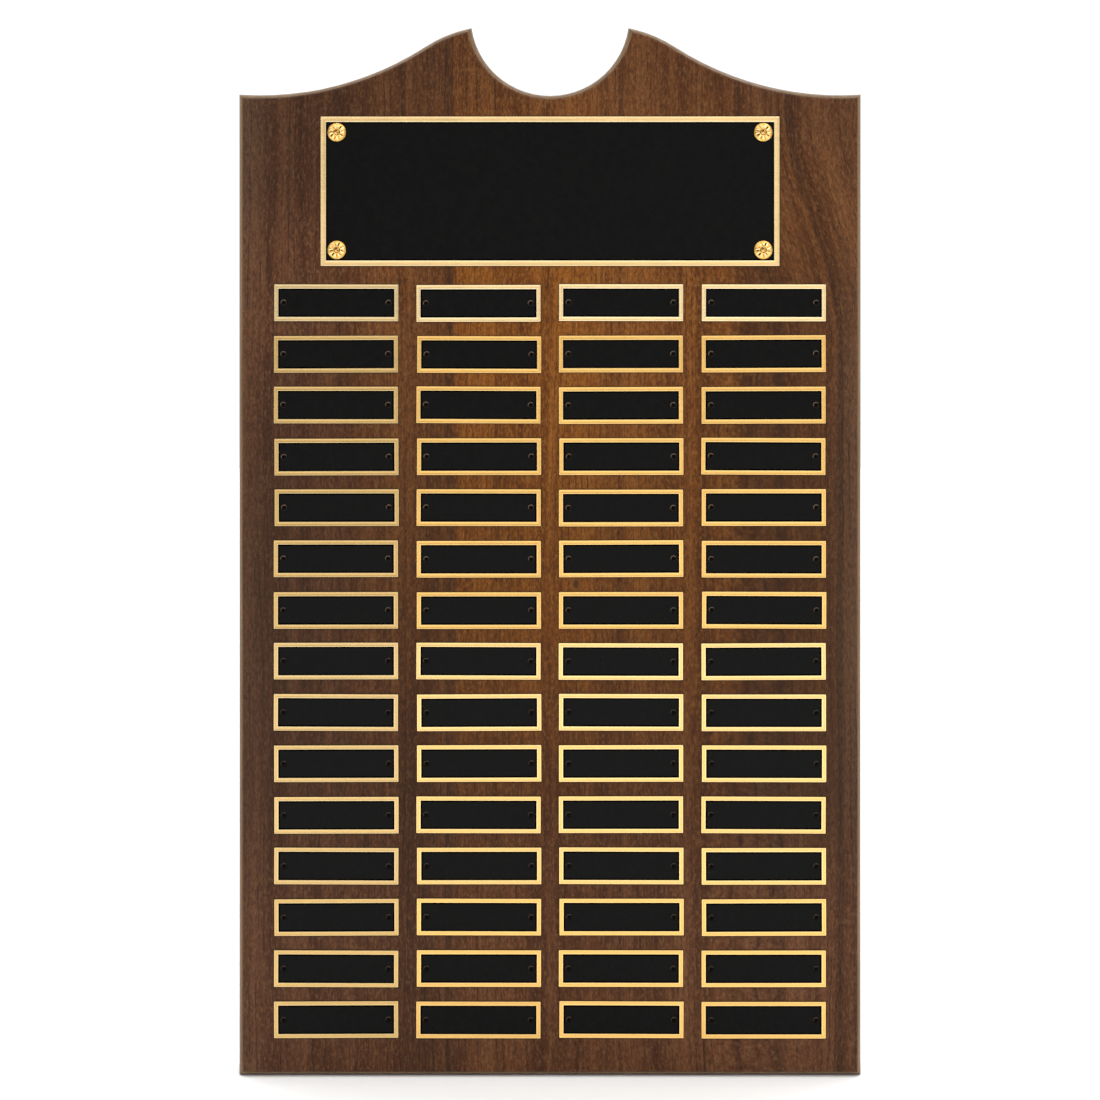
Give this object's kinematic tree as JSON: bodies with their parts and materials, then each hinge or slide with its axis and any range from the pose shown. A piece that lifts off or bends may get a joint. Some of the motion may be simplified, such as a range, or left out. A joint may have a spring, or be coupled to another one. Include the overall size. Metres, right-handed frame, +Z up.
{
  "type": "perpetual wall plaque",
  "caption": "Tall walnut-faced wall plaque with an ogee top, a round notch, a wide header plate on rosette tacks, a grid of small pinned nameplates and keyhole hangers.",
  "frame": {"origin": "middle of the back face, which lies against the wall", "axes": "+Z up, +X to the viewer's right, the front faces -Y"},
  "size_m": [0.3174, 0.0212, 0.534],
  "materials": {
    "core": "fibreboard core with a satin walnut-toned lacquered edge",
    "face_veneer": "satin lacquered walnut, vertical grain",
    "back_veneer": "plain unpolished balancing veneer",
    "header_brass": "black enamel field inside a polished double-line brass border",
    "nameplate_brass": "black enamel field inside a polished double-line brass border",
    "rosette_brass": "polished stamped brass",
    "nail_steel": "bright steel",
    "black_pins": "gloss black enamel",
    "hanger_steel": "yellow zinc plated steel",
    "screw_steel": "yellow zinc plated steel"
  },
  "bodies": {
    "root": {"core_panel": "core", "face_veneer_left": "face_veneer", "face_veneer_right": "face_veneer", "back_veneer": "back_veneer", "header_plate": "header_brass", "rosette_cap_top_left": "rosette_brass", "rosette_cap_top_right": "rosette_brass", "rosette_cap_bottom_left": "rosette_brass", "rosette_cap_bottom_right": "rosette_brass", "rosette_nails": "nail_steel", "nameplate_row_01": "nameplate_brass", "nameplate_row_02": "nameplate_brass", "nameplate_row_03": "nameplate_brass", "nameplate_row_04": "nameplate_brass", "nameplate_row_05": "nameplate_brass", "nameplate_row_06": "nameplate_brass", "nameplate_row_07": "nameplate_brass", "nameplate_row_08": "nameplate_brass", "nameplate_row_09": "nameplate_brass", "nameplate_row_10": "nameplate_brass", "nameplate_row_11": "nameplate_brass", "nameplate_row_12": "nameplate_brass", "nameplate_row_13": "nameplate_brass", "nameplate_row_14": "nameplate_brass", "nameplate_row_15": "nameplate_brass", "nameplate_pins_row_01": "black_pins", "nameplate_pins_row_02": "black_pins", "nameplate_pins_row_03": "black_pins", "nameplate_pins_row_04": "black_pins", "nameplate_pins_row_05": "black_pins", "nameplate_pins_row_06": "black_pins", "nameplate_pins_row_07": "black_pins", "nameplate_pins_row_08": "black_pins", "nameplate_pins_row_09": "black_pins", "nameplate_pins_row_10": "black_pins", "nameplate_pins_row_11": "black_pins", "nameplate_pins_row_12": "black_pins", "nameplate_pins_row_13": "black_pins", "nameplate_pins_row_14": "black_pins", "nameplate_pins_row_15": "black_pins", "keyhole_hanger_left": "hanger_steel", "keyhole_hanger_right": "hanger_steel", "hanger_screws_left": "screw_steel", "hanger_screws_right": "screw_steel"}
  },
  "joints": []
}
